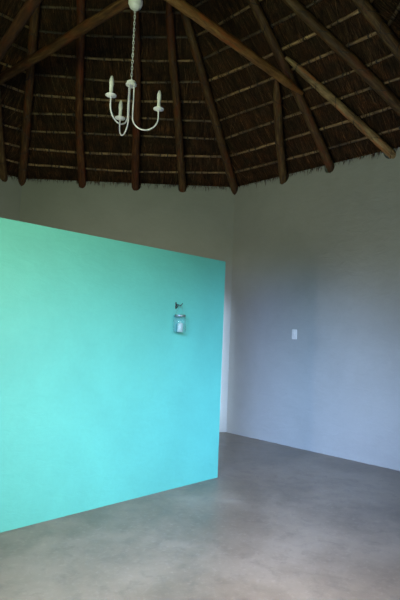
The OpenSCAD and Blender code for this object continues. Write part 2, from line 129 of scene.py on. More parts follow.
class Soup:
    """Collects vertices and faces with a grain vector and a shade for each vertex."""

    def __init__(self):
        self.verts, self.grain, self.shade, self.faces, self.mats = [], [], [], [], []
        self.count = 0

    def add(self, verts, faces, grain=None, shade=0.5, mat=0):
        verts = np.asarray(verts, float).reshape(-1, 3)
        grain = verts if grain is None else np.asarray(grain, float).reshape(-1, 3)
        self.verts.append(verts)
        self.grain.append(np.broadcast_to(grain, verts.shape))
        self.shade.append(np.broadcast_to(np.asarray(shade, float).ravel(), (len(verts),)))
        self.faces.append(np.asarray(faces) + self.count)
        self.mats.append(mat)
        self.count += len(verts)

    def build(self, name, materials, smooth=True):
        mesh = bpy.data.meshes.new(name)
        verts = np.concatenate(self.verts)
        loops = np.concatenate([f.ravel() for f in self.faces])
        totals = np.concatenate([np.full(len(f), f.shape[1]) for f in self.faces])
        mats = np.concatenate([np.full(len(f), m) for f, m in zip(self.faces, self.mats)])
        mesh.vertices.add(len(verts))
        mesh.vertices.foreach_set("co", verts.astype(np.float32).ravel())
        mesh.loops.add(len(loops))
        mesh.loops.foreach_set("vertex_index", loops.astype(np.int32))
        mesh.polygons.add(len(totals))
        mesh.polygons.foreach_set("loop_start", (np.cumsum(totals) - totals).astype(np.int32))
        for m in materials:
            mesh.materials.append(m)
        mesh.polygons.foreach_set("material_index", mats.astype(np.int32))
        mesh.update(calc_edges=True)
        mesh.validate()
        mesh.attributes.new("grain", "FLOAT_VECTOR", "POINT").data.foreach_set(
            "vector", np.concatenate(self.grain).astype(np.float32).ravel())
        mesh.attributes.new("shade", "FLOAT", "POINT").data.foreach_set(
            "value", np.concatenate(self.shade).astype(np.float32))
        mesh.polygons.foreach_set("use_smooth", np.full(len(totals), smooth))
        return add_object(name, mesh)


def grid_faces(rows, cols, wrap=False):
    """Quads of a grid of rows x cols vertices, closed round the columns if wrap is set."""
    r = np.arange(rows - 1)[:, None]
    c = np.arange(cols if wrap else cols - 1)[None, :]
    d = (c + 1) % cols
    quad = np.stack([r * cols + c, r * cols + d, (r + 1) * cols + d, (r + 1) * cols + c], -1)
    return quad.reshape(-1, 4)


def fan(a, b, tip):
    """Triangles from the edges between a and b to one vertex."""
    return np.stack([a, b, np.full(len(a), tip)], -1)


def rings_about(points, radius, side, other, sides):
    """Rings of vertices about the points; radius is one size or one for each point."""
    turn = turns(sides)
    radius = (np.ones(len(points)) * radius)[:, None, None]
    return points[:, None] + radius * (np.cos(turn)[None, :, None] * side[:, None]
                                       + np.sin(turn)[None, :, None] * other[:, None])


def islands(node):
    """Vertex arrays of the separate solids in a CAD node."""
    mesh = NODES[node].data
    co = np.zeros(len(mesh.vertices) * 3)
    mesh.vertices.foreach_get("co", co)
    co = co.reshape(-1, 3)
    _, same = np.unique(np.round(co, 5), axis=0, return_inverse=True)
    same = same.ravel()
    group = np.arange(same.max() + 1)

    def root(i):
        while group[i] != i:
            group[i] = group[group[i]]
            i = group[i]
        return i

    for edge in mesh.edges:
        a, b = root(same[edge.vertices[0]]), root(same[edge.vertices[1]])
        group[max(a, b)] = min(a, b)
    label = np.array([root(i) for i in same])
    return [co[label == g] for g in np.unique(label)]


def pole_of(points):
    """Axis ends and end radii of a round pole, its lower or -X end first."""
    middle = points.mean(0)
    axis = np.linalg.svd(points - middle, full_matrices=False)[2][0]
    if axis @ np.array([0.3, 0.1, 1.0]) < 0:
        axis = -axis
    at = (points - middle) @ axis
    span = at.max() - at.min()
    ends, radii = [], []
    for near in (at < at.min() + 0.1 * span, at > at.max() - 0.1 * span):
        ends.append(points[near].mean(0))
        off = points[near] - ends[-1]
        radii.append(np.linalg.norm(off - np.outer(off @ axis, axis), axis=1).max())
    axis = unit(ends[1] - ends[0])
    reach = (points - ends[0]) @ axis
    return ends[0] + axis * reach.min(), ends[0] + axis * reach.max(), *radii


def smooth_noise(rng, n, knots, amount):
    """A smooth random curve of n samples that is zero at both ends."""
    t = np.linspace(0, 1, n)
    out = np.zeros(n)
    for j in range(1, knots + 1):
        out += rng.normal(0, 1 / j ** 1.3) * np.sin(math.pi * j * t)
    return amount * out


def pole_radii(rng, n, sides, length, r_low, r_high, knots, knot_h, rough, tips):
    """Radii of the n rings of a pole: taper, oval section, unevenness, hewn tips and knots."""
    t, turn = np.linspace(0, 1, n), turns(sides)
    radius = (r_low + (r_high - r_low) * t)[:, None] * np.ones(sides)[None]
    phase = rng.uniform(0, 6.28, 3)[0]
    radius *= 1 + 0.025 * np.cos(2 * turn + phase)[None] + smooth_noise(rng, n, 9, 0.012)[:, None]
    radius += rng.normal(0, rough, radius.shape)
    for tip, from_end in zip(tips, (t * length, (1 - t) * length)):
        if tip:
            radius *= np.clip(0.45 + 0.55 * from_end / tip, 0.45, 1)[:, None]
    for _ in range(knots):
        at, round_at = rng.uniform(0.02, 0.98), rng.uniform(0, 2 * math.pi)
        wide = rng.uniform(0.03, 0.05)
        gap = np.angle(np.exp(1j * (turn - round_at)))[None] * r_low
        radius += knot_h * rng.uniform(0.4, 1) * np.exp(
            -(((t - at) * length) ** 2)[:, None] / wide ** 2 - gap ** 2 / (0.6 * wide) ** 2)
    return radius


# A pole without a bow keeps to its straight axis at its foot, and bends more and more over this length
STRAIGHT_FOOT = 0.8


def log(soup, low, high, r_low, r_high, rng, sides=18, ring=0.07, bend=0.012, bow=0.0, normal=UP, knots=7,
        knot_h=0.006, rough=0.0012, tips=(0, 0), shade=None, mat=0, mat_end=0):
    """A round pole with slight bends along its side, an oval section, knots and worn end edges.

    tips are the lengths over which its two ends are hewn to a blunt point, and bow is how far its
    middle hangs to its side. Returns the points of its centre line."""
    axis = unit(high - low)
    length = np.linalg.norm(high - low)
    side = unit(np.cross(axis, normal))
    lift = np.cross(side, axis)
    n = max(int(length / ring), 3) + 1
    t, turn = np.linspace(0, 1, n), turns(sides)
    radius = pole_radii(rng, n, sides, length, r_low, r_high, knots, knot_h, rough, tips)
    from_foot = np.clip(t * length / STRAIGHT_FOOT, 0, 1) ** 2 if bow == 0 else 1
    offset = smooth_noise(rng, n, 4, bend) * from_foot + bow * np.sin(math.pi * t)
    centre = low + np.outer(t * length, axis) + np.outer(offset, side)
    ring_dir = np.cos(turn)[:, None] * side + np.sin(turn)[:, None] * lift
    verts = centre[:, None] + radius[..., None] * ring_dir[None]
    seed = rng.uniform(0, 40, 3)
    flat = np.stack([np.cos(turn), np.sin(turn)], -1)
    grain = np.concatenate([radius[..., None] * flat[None],
                            np.broadcast_to((t * length)[:, None, None], (n, sides, 1))], -1) + seed
    shade = rng.uniform(0, 1) if shade is None else shade
    soup.add(verts, grid_faces(n, sides, True)[:, ::-1], grain, shade, mat)
    for i, sign in ((0, -1), (-1, 1)):
        inner = centre[i] + axis * sign * 0.0015 + 0.86 * radius[i][:, None] * ring_dir
        core = centre[i] + axis * sign * 0.002
        cap = np.concatenate([verts[i], inner, core[None]])
        a, b = next_round(sides)[::-sign]
        end_grain = np.concatenate([grain[i], grain[i], seed[None]])
        soup.add(cap, np.stack([a, b, b + sides, a + sides], -1), end_grain, shade, mat_end)
        soup.add(cap, fan(a + sides, b + sides, 2 * sides), end_grain, shade, mat_end)
    return centre


def along(centre, part):
    """The point of a centre line at this part of its length, and its direction there."""
    at = np.clip(part, 0, 1) * (len(centre) - 1)
    i = min(int(at), len(centre) - 2)
    run = centre[i + 1] - centre[i]
    return centre[i] + (at - i) * run, unit(run)


def loop(soup, points, thick, axis, shade, sides=3):
    """A closed round of twine through the points, which go once round the axis."""
    tangent = unit_rows(np.roll(points, -1, 0) - np.roll(points, 1, 0))
    out = unit_rows(np.cross(tangent, axis))
    verts = rings_about(points, thick, out, np.cross(tangent, out), sides)
    last = (len(points) - 1) * sides
    a, b = next_round(sides)
    closing = np.stack([last + a, last + b, b, a], -1)
    faces = np.concatenate([grid_faces(len(points), sides, True), closing])
    soup.add(verts, faces, points.mean(0), shade)


def spindles(soup, start, end, thick, face_normal, shade, mat):
    """Grass stalks: closed slivers from start to end with a three-sided middle."""
    run = unit_rows(end - start)
    side = unit_rows(np.cross(run, face_normal))
    top = np.cross(side, run)
    middle = (start + end) / 2
    ring = [middle + thick[:, None] * (math.cos(a) * side + math.sin(a) * top)
            for a in (math.pi / 2, -math.pi / 6, 7 * math.pi / 6)]
    verts = np.stack([start, *ring, end], 1)
    one = np.array([[0, 1, 2], [0, 2, 3], [0, 3, 1], [4, 2, 1], [4, 3, 2], [4, 1, 3]])
    faces = (np.arange(len(start))[:, None, None] * 5 + one[None]).reshape(-1, 3)
    soup.add(verts, faces, np.repeat(middle, 5, 0), np.repeat(shade, 5), mat)


# --------------------------------------------------------------- materials

class Paint:
    """A small helper that wires a procedural material."""

    def __init__(self, name, roughness=0.6, metallic=0.0, **sockets):
        self.mat = bpy.data.materials.new(name)
        self.mat.use_nodes = True
        self.tree = self.mat.node_tree
        self.shader = self.tree.nodes["Principled BSDF"]
        self.shader.inputs["Roughness"].default_value = roughness
        self.shader.inputs["Metallic"].default_value = metallic
        for key, value in sockets.items():
            self.shader.inputs[key.replace("_", " ")].default_value = value
        self.bump = None

    def node(self, kind, **props):
        n = self.tree.nodes.new(kind)
        for key, value in props.items():
            setattr(n, key, value)
        return n

    def link(self, a, b):
        self.tree.links.new(a, b)

    def feed(self, node, values):
        """Sets or links the node's inputs by their numbers."""
        for key, value in values.items():
            if isinstance(value, (int, float)):
                node.inputs[key].default_value = value
            elif isinstance(value, tuple):
                node.inputs[key].default_value = (*value, 1)
            else:
                self.link(value, node.inputs[key])

    def place(self, scale=(1, 1, 1), attribute=None):
        """Coordinates of the surface in metres, stretched by scale."""
        if attribute:
            source = self.node("ShaderNodeAttribute", attribute_name=attribute).outputs["Vector"]
        else:
            source = self.node("ShaderNodeTexCoord").outputs["Object"]
        m = self.node("ShaderNodeMapping")
        m.inputs["Scale"].default_value = scale
        self.link(source, m.inputs["Vector"])
        return m.outputs["Vector"]

    def shade(self):
        return self.node("ShaderNodeAttribute", attribute_name="shade").outputs["Fac"]

    def noise(self, at, scale=1.0, detail=4.0, rough=0.55, warp=0.0):
        n = self.node("ShaderNodeTexNoise")
        n.inputs["Scale"].default_value = scale
        n.inputs["Detail"].default_value = detail
        n.inputs["Roughness"].default_value = rough
        n.inputs["Distortion"].default_value = warp
        self.link(at, n.inputs["Vector"])
        return n.outputs["Fac"]

    def ramp(self, fac, *stops):
        """Colours (r, g, b) or greys at positions 0 to 1, in scene-linear values."""
        r = self.node("ShaderNodeValToRGB")
        marks = r.color_ramp.elements
        marks.remove(marks[1])
        marks[0].position = stops[0][0]
        for place, _ in stops[1:]:
            marks.new(place)
        for mark, (_, c) in zip(marks, stops):
            mark.color = (c, c, c, 1) if isinstance(c, (int, float)) else (*c, 1)
        self.link(fac, r.inputs["Fac"])
        return r.outputs["Color"]

    def mix(self, fac, a, b, blend="MIX"):
        m = self.node("ShaderNodeMix", data_type="RGBA", blend_type=blend)
        self.feed(m, {0: fac, 6: a, 7: b})
        return m.outputs[2]

    def math(self, op, a, b=0.0):
        m = self.node("ShaderNodeMath", operation=op)
        self.feed(m, {0: a, 1: b})
        return m.outputs[0]

    def axis(self, at, name):
        s = self.node("ShaderNodeSeparateXYZ")
        self.link(at, s.inputs[0])
        return s.outputs[name]

    def color(self, out):
        self.link(out, self.shader.inputs["Base Color"])

    def rough(self, fac, low, high):
        m = self.node("ShaderNodeMapRange")
        m.inputs["To Min"].default_value = low
        m.inputs["To Max"].default_value = high
        self.link(fac, m.inputs["Value"])
        self.link(m.outputs["Result"], self.shader.inputs["Roughness"])

    def relief(self, height, distance, strength=0.6):
        """Adds a bump of this height in metres over the ones before it."""
        b = self.node("ShaderNodeBump")
        b.inputs["Strength"].default_value = strength
        b.inputs["Distance"].default_value = distance
        self.link(height, b.inputs["Height"])
        if self.bump is not None:
            self.link(self.bump, b.inputs["Normal"])
        self.bump = b.outputs["Normal"]
        self.link(self.bump, self.shader.inputs["Normal"])


def scaled(c, f):
    return tuple(f * x for x in c)


def wall_paint(name, color, stain, roughness):
    """Trowelled plaster under matt paint, with soft stains."""
    p = Paint(name)
    at = p.place()
    cloud = p.noise(at, 1.3, 5, 0.6, 0.4)
    fine = p.noise(at, 42, 6, 0.65)
    trowel = p.noise(p.place((1.0, 1.0, 2.2)), 5.5, 4, 0.55, 0.8)
    base = p.ramp(cloud, (0.28, scaled(color, 0.9)), (0.52, color), (0.78, scaled(color, 1.08)))
    base = p.mix(p.ramp(p.noise(at, 3.6, 6, 0.7), (0.5, 0.0), (0.8, 0.5)), base, stain)
    base = p.mix(p.ramp(fine, (0.35, 0.12), (0.6, 0.0)), base, scaled(color, 0.72))
    p.color(base)
    p.rough(trowel, roughness - 0.08, roughness + 0.1)
    p.relief(trowel, 0.006, 0.5)
    p.relief(fine, 0.0007, 0.6)
    return p.mat


def screed():
    """Polished cement floor: clouded and burnished, with dark blotches, pale flecks and fine sand."""
    p = Paint("screed")
    at = p.place()
    cloud = p.noise(at, 0.9, 6, 0.6, 0.6)
    swirl = p.noise(at, 3.4, 4, 0.55, 0.7)
    blotch, fleck = p.noise(at, 9, 6, 0.7, 0.4), p.noise(at, 31, 5, 0.7, 0.3)
    base = p.ramp(cloud, (0.3, (0.07, 0.052, 0.031)), (0.5, (0.12, 0.092, 0.056)),
                  (0.72, (0.18, 0.145, 0.093)))
    base = p.mix(p.ramp(swirl, (0.4, 0.0), (0.75, 0.45)), base, (0.235, 0.195, 0.13))
    base = p.mix(p.ramp(blotch, (0.5, 0.0), (0.72, 0.55)), base, (0.06, 0.043, 0.027))
    base = p.mix(p.ramp(fleck, (0.54, 0.0), (0.74, 0.35)), base, (0.27, 0.225, 0.155))
    p.color(base)
    p.rough(swirl, 0.29, 0.46)
    p.relief(p.noise(at, 2.2, 4, 0.5), 0.006, 0.35)
    p.relief(p.noise(at, 90, 4, 0.6), 0.0005, 0.4)
    return p.mat


def pole_wood(name, dark, mid, light, bark=0.35):
    """Debarked pole: long grain, reddish bark patches, grey weathered streaks and dark checks."""
    p = Paint(name, Specular_IOR_Level=0.25)
    streak = p.noise(p.place((1, 1, 0.12), "grain"), 60, 6, 0.6, 0.3)
    patch = p.noise(p.place((1, 1, 0.35), "grain"), 7, 5, 0.6, 0.8)
    fine = p.noise(p.place((1, 1, 0.06), "grain"), 230, 3, 0.6)
    rust = p.noise(p.place((1, 1, 0.3), "grain"), 9, 5, 0.65, 0.5)
    base = p.ramp(streak, (0.28, dark), (0.5, mid), (0.72, light))
    base = p.mix(p.ramp(patch, (0.5, 0.0), (0.62, bark)), base, scaled(dark, 0.6))
    base = p.mix(p.ramp(patch, (0.25, 0.5), (0.42, 0.0)), base, scaled(light, 1.25))
    rusty = (1.6 * mid[0], 0.85 * mid[1], 0.6 * mid[2])
    base = p.mix(p.ramp(rust, (0.52, 0.0), (0.64, 0.7)), base, rusty)
    tone = p.ramp(p.shade(), (0.0, (1.0, 0.55, 0.4)), (0.4, (1.0, 0.82, 0.72)), (0.6, (0.9, 0.92, 0.85)),
                  (1.0, (1.05, 1.2, 1.1)))
    base = p.mix(1.0, base, tone, "MULTIPLY")
    base = p.mix(p.ramp(fine, (0.3, 0.7), (0.42, 0.0)), base, scaled(dark, 0.35))
    p.color(base)
    p.rough(streak, 0.5, 0.8)
    p.relief(streak, 0.004, 0.5)
    p.relief(fine, 0.0012, 0.5)
    return p.mat


def lath_wood():
    """Light sapling laths, some greyed, with dark scars at the nodes."""
    p = Paint("lath")
    streak = p.noise(p.place((1, 1, 0.1), "grain"), 90, 5, 0.6)
    patch = p.noise(p.place((1, 1, 0.6), "grain"), 6, 5, 0.65)
    base = p.ramp(streak, (0.3, (0.11, 0.05, 0.017)), (0.5, (0.25, 0.145, 0.055)), (0.7, (0.46, 0.31, 0.14)))
    base = p.mix(p.ramp(patch, (0.4, 0.0), (0.62, 0.88)), base, (0.04, 0.02, 0.009))
    base = p.mix(1.0, base, p.ramp(p.shade(), (0.0, 0.22), (0.5, 0.8), (1.0, 1.3)), "MULTIPLY")
    p.color(base)
    p.rough(streak, 0.5, 0.75)
    p.relief(streak, 0.0025, 0.6)
    return p.mat


def grass_patches(p, at, base, brightest):
    """Greyer and redder patches of the thatch, about a hand wide."""
    patch = p.noise(at, 6.5, 6, 0.68, 0.6)
    hue = p.ramp(patch, (0.36, (0.62, 0.72, 0.7)), (0.5, (0.95, 0.92, 0.9)), (0.64, (brightest, 1.2, 1.0)))
    return p.mix(1.0, base, hue, "MULTIPLY")


def grass(name, dark, mid, light):
    """Thatching grass: every stalk has its own tone."""
    p = Paint(name, roughness=0.75, Specular_IOR_Level=0.12)
    at = p.place()
    cloud = p.noise(at, 2.4, 5, 0.6)
    base = p.ramp(p.shade(), (0.0, dark), (0.55, mid), (0.9, light), (1.0, scaled(light, 1.4)))
    base = p.mix(1.0, base, p.ramp(cloud, (0.3, 0.55), (0.7, 1.3)), "MULTIPLY")
    base = grass_patches(p, at, base, 1.5)
    base = p.mix(p.ramp(p.noise(at, 70, 3, 0.6), (0.35, 0.55), (0.6, 0.0)), base, scaled(dark, 0.5))
    p.color(base)
    p.relief(p.noise(at, 160, 3, 0.6), 0.003, 0.6)
    return p.mat


def thatch_bed(name, k, dark, mid, light):
    """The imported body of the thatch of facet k: fine stalks that run up the slope."""
    p = Paint(name, roughness=0.85, Specular_IOR_Level=0.12)
    turned = p.node("ShaderNodeMapping", vector_type="TEXTURE")
    turned.inputs["Rotation"].default_value = (0, PITCH, k * TURN)
    p.link(p.node("ShaderNodeTexCoord").outputs["Object"], turned.inputs["Vector"])
    stretch = p.node("ShaderNodeMapping")
    stretch.inputs["Scale"].default_value = (0.035, 1, 1)
    p.link(turned.outputs["Vector"], stretch.inputs["Vector"])
    stalk = p.noise(stretch.outputs["Vector"], 150, 4, 0.65)
    clump = p.noise(stretch.outputs["Vector"], 26, 4, 0.6, 0.5)
    base = p.ramp(stalk, (0.34, scaled(dark, 0.35)), (0.5, dark), (0.6, mid), (0.74, light))
    base = p.mix(1.0, base, p.ramp(clump, (0.3, 0.4), (0.68, 1.45)), "MULTIPLY")
    p.color(grass_patches(p, p.place(), base, 1.55))
    p.relief(clump, 0.02, 0.7)
    p.relief(stalk, 0.006, 0.8)
    return p.mat


def joinery(name, planks=None):
    """Varnished pine joinery with upright grain, in planks of this width if one is given."""
    p = Paint(name)
    at = p.place((1.0, 1.0, 0.08))
    ring = p.noise(at, 22, 5, 0.55, 1.6)
    fine = p.noise(at, 240, 3, 0.6)
    base = p.ramp(ring, (0.32, (0.2, 0.09, 0.035)), (0.5, (0.38, 0.2, 0.085)), (0.7, (0.52, 0.31, 0.14)))
    base = p.mix(p.ramp(fine, (0.3, 0.5), (0.5, 0.0)), base, (0.12, 0.05, 0.02))
    if planks:
        step = p.math("FLOOR", p.math("DIVIDE", p.math("ADD", p.axis(p.place(), "X"), 10.0), planks))
        each = p.node("ShaderNodeTexWhiteNoise", noise_dimensions="1D")
        p.link(step, each.inputs["W"])
        base = p.mix(1.0, base, p.ramp(each.outputs["Value"], (0.0, 0.72), (1.0, 1.2)), "MULTIPLY")
    p.color(base)
    p.rough(ring, 0.3, 0.5)
    p.relief(ring, 0.0015, 0.4)
    p.relief(fine, 0.0004, 0.5)
    return p.mat


def enamel(name, color, roughness, chips=(0.25, 0.22, 0.19)):
    """Brushed-on paint over metal or plastic, with small chips and grime."""
    p = Paint(name)
    at = p.place()
    grime = p.noise(at, 16, 5, 0.6)
    base = p.ramp(grime, (0.35, scaled(color, 0.8)), (0.65, color))
    base = p.mix(p.ramp(p.noise(at, 120, 5, 0.7), (0.7, 0.0), (0.74, 0.8)), base, chips)
    p.color(base)
    p.rough(grime, roughness, roughness + 0.18)
    p.relief(p.noise(at, 300, 3, 0.6), 0.0003, 0.4)
    return p.mat


def iron():
    """Blackened iron with a little rust."""
    p = Paint("black_iron", metallic=0.7)
    at = p.place()
    rust = p.noise(at, 30, 6, 0.65)
    p.color(p.ramp(rust, (0.4, (0.018, 0.017, 0.016)), (0.62, (0.035, 0.03, 0.027)),
                   (0.78, (0.09, 0.04, 0.02))))
    p.rough(rust, 0.4, 0.75)
    p.relief(p.noise(at, 180, 4, 0.6), 0.0006, 0.6)
    return p.mat


def zinc():
    """Dull, cloudy zinc of the jar's lid and bail."""
    p = Paint("lid_metal", metallic=0.85)
    at = p.place()
    cloud = p.noise(at, 60, 5, 0.6)
    p.color(p.ramp(cloud, (0.35, (0.06, 0.085, 0.08)), (0.65, (0.2, 0.27, 0.26))))
    p.rough(cloud, 0.3, 0.5)
    p.relief(p.noise(at, 400, 3, 0.6), 0.0003, 0.5)
    return p.mat


def glass(name, tint, dust, clear):
    """Thin clear glass: see-through face on, denser towards its edges, with a film of dust."""
    p = Paint(name, roughness=0.04, IOR=1.45)
    at = p.place()
    film = p.noise(at, 9, 5, 0.6)
    p.color(p.ramp(film, (0.4, tint), (0.75, scaled(tint, dust))))
    p.rough(film, 0.02, 0.1)
    p.relief(p.noise(at, 5, 3, 0.5), 0.0006, 0.3)
    facing = p.node("ShaderNodeLayerWeight")
    facing.inputs["Blend"].default_value = 0.35
    edge = p.ramp(facing.outputs["Facing"], (0.0, clear), (0.55, 2 * clear), (0.95, 0.8))
    p.link(edge, p.shader.inputs["Alpha"])
    return p.mat


def twine():
    """Tarred twine, nearly black."""
    p = Paint("twine", roughness=0.9)
    at = p.place()
    tone = p.noise(at, 4, 3, 0.6)
    p.color(p.ramp(tone, (0.3, (0.012, 0.009, 0.007)), (0.7, (0.05, 0.035, 0.022))))
    p.relief(p.noise(at, 420, 3, 0.6), 0.001, 0.7)
    return p.mat


PLASTER = wall_paint("plaster", (0.206, 0.217, 0.172), (0.18, 0.186, 0.143), 0.68)
TEAL = wall_paint("teal_plaster", (0.067, 0.315, 0.222), (0.058, 0.282, 0.197), 0.6)
MORTAR = wall_paint("mortar", (0.36, 0.34, 0.3), (0.24, 0.23, 0.2), 0.85)
SCREED = screed()
RAFTER = pole_wood("rafter_pole", (0.022, 0.0085, 0.0027), (0.067, 0.031, 0.0105), (0.14, 0.082, 0.032))
ORANGE = pole_wood("orange_pole", (0.06, 0.024, 0.006), (0.175, 0.088, 0.024), (0.3, 0.17, 0.055))
BROWN = pole_wood("brown_pole", (0.02, 0.008, 0.003), (0.052, 0.022, 0.009), (0.095, 0.045, 0.02))
PALE = pole_wood("pale_pole", (0.07, 0.035, 0.014), (0.21, 0.125, 0.055), (0.34, 0.23, 0.115), 0.6)
END_GRAIN = pole_wood("pole_end", (0.09, 0.055, 0.03), (0.2, 0.13, 0.075), (0.3, 0.21, 0.13))
LATH = lath_wood()
GRASS_IN = grass("grass_inside", (0.017, 0.0085, 0.0033), (0.055, 0.029, 0.012), (0.15, 0.084, 0.037))
GRASS_OUT = grass("grass_outside", (0.09, 0.07, 0.045), (0.24, 0.195, 0.13), (0.42, 0.36, 0.26))
PLANKS = joinery("joinery_upright", 0.14)
TIMBER = joinery("joinery")
WINDOW_GLASS = glass("window_glass", (0.62, 0.72, 0.72), 0.9, 0.14)
JAR_GLASS = glass("jar_glass", (0.12, 0.34, 0.32), 0.85, 0.07)
WHITE = enamel("white_enamel", (0.66, 0.66, 0.64), 0.3)
CANDLE = enamel("candle_sleeve", (0.56, 0.57, 0.52), 0.4, (0.36, 0.33, 0.26))
PLASTIC = enamel("white_plastic", (0.5, 0.5, 0.4), 0.3, (0.36, 0.36, 0.3))
IRON = iron()
ZINC = zinc()
WAX = enamel("wax", (0.24, 0.33, 0.28), 0.35, (0.2, 0.26, 0.22))
TWINE = twine()

FINISH = {
    PLASTER: ["wall_right", "wall_back_right", "wall_back", "wall_back_left", "wall_left",
              "wall_front_left", "wall_front_right", "wall_left_of_door", "wall_right_of_door",
              "wall_over_door", "wall_head_filling"],
    TEAL: ["headboard_partition"], SCREED: ["floor_slab"], MORTAR: ["ridge_cap", "window_sills"],
    PLANKS: ["door_leaf"], TIMBER: ["door_frame", "window_frames"], WINDOW_GLASS: ["window_glass"],
    JAR_GLASS: ["lantern_jar"], WHITE: ["lamp_rose", "lamp_chain", "lamp_arms"],
    CANDLE: ["lamp_candles"], IRON: ["door_hinges", "lantern_hook"], ZINC: ["lantern_lid"],
    PLASTIC: ["switch_plate"],
}


def finish_solids():
    """Gives the CAD solids their materials."""
    for material, names in FINISH.items():
        for name in names:
            NODES[name].data.materials.clear()
            NODES[name].data.materials.append(material)


def stand_for(obj, slot, *nodes):
    """Rides a piece on the hut, in the place of these CAD nodes if any are named."""
    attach(obj, "root")
    if nodes:
        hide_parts(*nodes)


# ------------------------------------------------------- poles and laths

# Material, slot, seed and bend of the poles of each node
POLES = {
    "hip_rafters": (RAFTER, "rafter_pole", 11, 0.014),
    "middle_rafters": (RAFTER, "rafter_pole", 12, 0.02),
    "quarter_rafters": (RAFTER, "rafter_pole", 13, 0.022),
    "tie_pole_long": (ORANGE, "orange_pole", 14, 0.012),
    "tie_pole_cross": (RAFTER, "rafter_pole", 15, 0.012),
    "tie_pole_slanting": (BROWN, "brown_pole", 16, 0.012),
}
# Distances from the middle between which the tops of the paler, knotty short poles lie
PALE_TOP = (2.5, 2.65)
# Degrees round from +X between which the poles are of redder wood
RED_WOOD = (85, 105)
# Parts of the CAD radii at foot and top
PLAIN_GIRTH, TIE_GIRTH, PALE_GIRTH = (1.05, 1), (0.92, 0.92), (0.95, 0.8)


def make_poles():
    """Detailed logs in the place of the plain round poles. Returns the rafters' centre lines and radii."""
    kept = []
    for node, (material, slot, seed, bend) in POLES.items():
        soup, rng, tie = Soup(), np.random.default_rng(seed), "tie" in node
        tips = (0, 0.22) if node == "quarter_rafters" else (0.3, 0.3) if tie else (0, 0)
        for points in islands(node):
            low, high, r_low, r_high = pole_of(points)
            pale = node == "quarter_rafters" and PALE_TOP[0] < math.hypot(high[0], high[1]) < PALE_TOP[1]
            foot, top = PALE_GIRTH if pale else TIE_GIRTH if tie else PLAIN_GIRTH
            red = not tie and RED_WOOD[0] < math.degrees(math.atan2(low[1], low[0])) < RED_WOOD[1]
            shade = 0.2 if red else 0.5 if tie else rng.uniform(0.5, 1)
            look = (dict(knots=16, knot_h=0.009, mat=2, mat_end=2) if pale
                    else dict(knots=9, knot_h=0.006, mat=0, mat_end=1))
            line = log(soup, low, high, r_low * foot, r_high * top, rng, bend=bend, tips=tips, shade=shade,
                       **look)
            if not tie:
                kept.append((line, r_low * foot, r_high * top))
        stand_for(soup.build(node + "_logs", [material, END_GRAIN, PALE]), slot, node)
    return kept


def make_king_block():
    """The turned block at the apex."""
    soup, rng = Soup(), np.random.default_rng(17)
    low, high = (np.array(c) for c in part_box("king_block"))
    x, y, _ = (low + high) / 2
    r = (high[0] - low[0]) / 2
    log(soup, np.array([x, y, low[2]]), np.array([x, y, high[2]]), r, r, rng, sides=28, ring=0.03, bend=0,
        normal=np.array([1.0, 0, 0]), knots=3, mat_end=1)
    stand_for(soup.build("king_block_log", [RAFTER, END_GRAIN]), "rafter_pole", "king_block")


def make_laths():
    """Laths with node rings, bent a little in the plane of the slope. Returns lines, radii and normals."""
    kept = []
    for node, seed in (("laths_square_sides", 21), ("laths_slanting_sides", 22)):
        soup, rng = Soup(), np.random.default_rng(seed)
        for points in islands(node):
            low, high, r_low, r_high = pole_of(points)
            middle = (low + high) / 2
            normal = slope_normal(round(math.atan2(middle[1], middle[0]) / TURN))
            length = np.linalg.norm(high - low)
            slim = rng.uniform(0.8, 1.05)
            down = np.cross(unit(high - low), normal) @ np.array([0, 0, -1.0])
            line = log(soup, low, high, r_low * slim, r_high * slim * rng.uniform(0.85, 1.1), rng, sides=8,
                       ring=0.09, bend=0.009, normal=normal, knots=int(length * 2), knot_h=0.004,
                       rough=0.0008, bow=math.copysign(rng.uniform(0.002, 0.016), down) * length)
            kept.append((line, r_low * slim, normal))
        stand_for(soup.build(node + "_saplings", [LATH]), "lath", node)
    return kept


# ------------------------------------------------------------------- twine

STITCH_R = 0.0058
TIE_R = 0.0036
# How far the middle of a tie's twine lies off the wood
TIE_OFF = 0.004


def make_stitches(laths, rng):
    """Single and double turns of dark twine round the laths, which hold the thatch to them."""
    soup = Soup()
    turn = turns(7)
    for line, r, normal in laths:
        length = np.linalg.norm(line[-1] - line[0])
        at = rng.uniform(0.05, 0.2)
        while at < length - 0.03:
            lean = rng.uniform(-0.5, 0.5)
            for shift in (0, 0.008)[:rng.integers(1, 3)]:
                centre, axis = along(line, (at + shift) / length)
                side = np.cross(axis, normal)
                ring = centre + (r + 0.0045) * (np.cos(turn)[:, None] * side + np.sin(turn)[:, None] * normal)
                ring += np.outer(np.sin(turn) * lean * r, axis)
                loop(soup, ring, STITCH_R, axis, rng.uniform())
            at += rng.uniform(0.09, 0.24)
    stand_for(soup.build("thatch_stitches", [TWINE]), "lath")


def crossing(lath, r, rafter, r_low):
    """Where a lath crosses a rafter: part of each one's length, or None if they don't meet."""
    length, reach = np.linalg.norm(lath[-1] - lath[0]), np.linalg.norm(rafter[-1] - rafter[0])
    axis, run = unit(lath[-1] - lath[0]), unit(rafter[-1] - rafter[0])
    cross = np.cross(axis, run)
    if np.linalg.norm(cross) < 0.3:
        return None
    t, u, w = np.linalg.solve(np.stack([axis, -run, cross], -1), rafter[0] - lath[0])
    near = abs(w) * np.linalg.norm(cross) <= r_low + r + 0.04
    if not (near and -0.05 < t < length + 0.05 and 0 < u < reach):
        return None
    return t / length, u / reach


